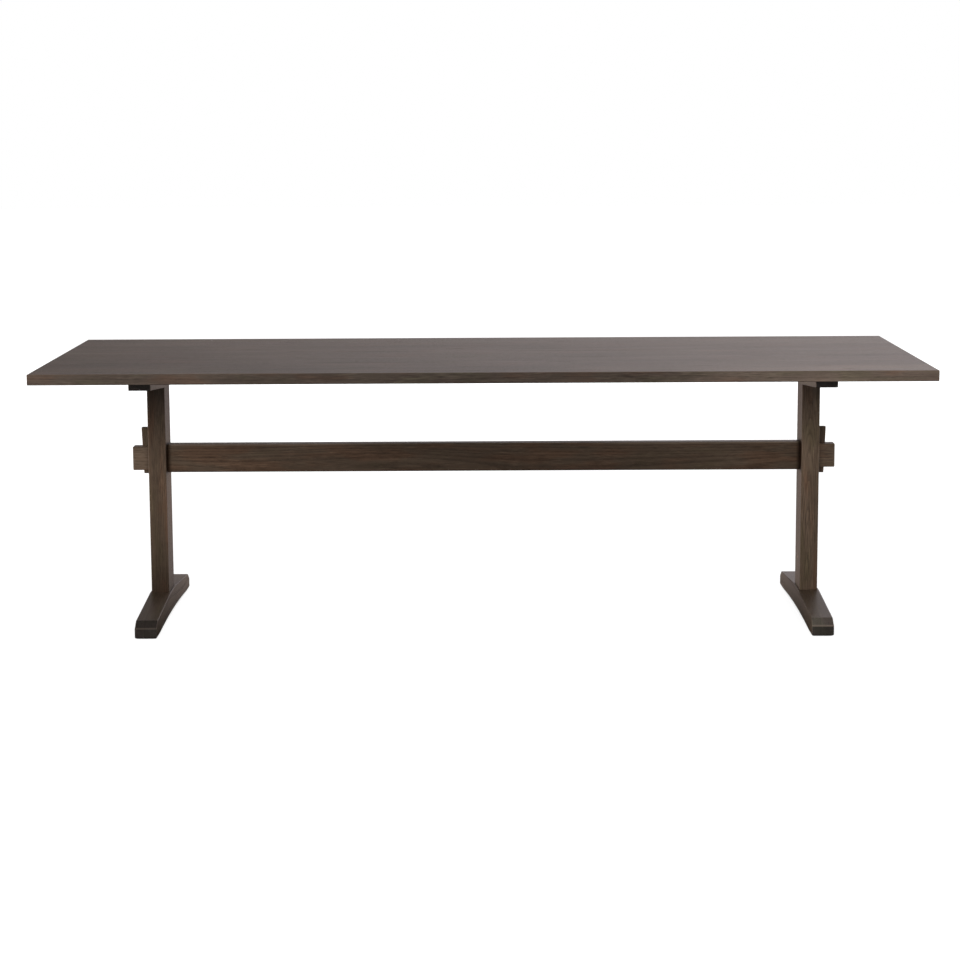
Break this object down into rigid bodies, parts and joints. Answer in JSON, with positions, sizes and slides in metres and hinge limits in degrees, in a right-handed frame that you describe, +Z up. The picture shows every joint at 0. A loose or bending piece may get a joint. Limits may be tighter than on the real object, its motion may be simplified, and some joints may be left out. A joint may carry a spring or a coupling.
{
  "type": "trestle dining table",
  "caption": "Rectangular slab top on I-shaped trestles tied by a stretcher whose through tenons are locked by lift-out wedges",
  "frame": {"origin": "on the floor, under the middle of the top", "axes": "+X along the table's length, +Y across it, +Z up"},
  "size_m": [2.4, 1, 0.74],
  "materials": {
    "oak_top": "dark smoked oak, matt oil, fine lengthwise grain",
    "oak_frame": "dark smoked oak, matt oil",
    "oak_wedge": "dark smoked oak, matt oil, upright grain",
    "screw_steel": "blackened zinc-plated steel",
    "insert_brass": "plain turned",
    "felt": "pressed wool felt"
  },
  "bodies": {
    "table": {"tabletop": "oak_top", "stretcher": "oak_frame", "left_top_rail": "oak_frame", "left_post": "oak_frame", "left_foot": "oak_frame", "left_top_screws": "screw_steel", "left_top_washers": "screw_steel", "left_top_inserts": "insert_brass", "left_felt_pads": "felt", "right_top_rail": "oak_frame", "right_post": "oak_frame", "right_foot": "oak_frame", "right_top_screws": "screw_steel", "right_top_washers": "screw_steel", "right_top_inserts": "insert_brass", "right_felt_pads": "felt"},
    "left_wedge": {"left_wedge": "oak_wedge"},
    "right_wedge": {"right_wedge": "oak_wedge"}
  },
  "joints": [
    {"name": "left_wedge_lift", "type": "slide", "parent": "table", "child": "left_wedge", "axis": [0, 0, 1], "range_m": [0, 0.1]},
    {"name": "right_wedge_lift", "type": "slide", "parent": "table", "child": "right_wedge", "axis": [0, 0, 1], "range_m": [0, 0.1]}
  ]
}
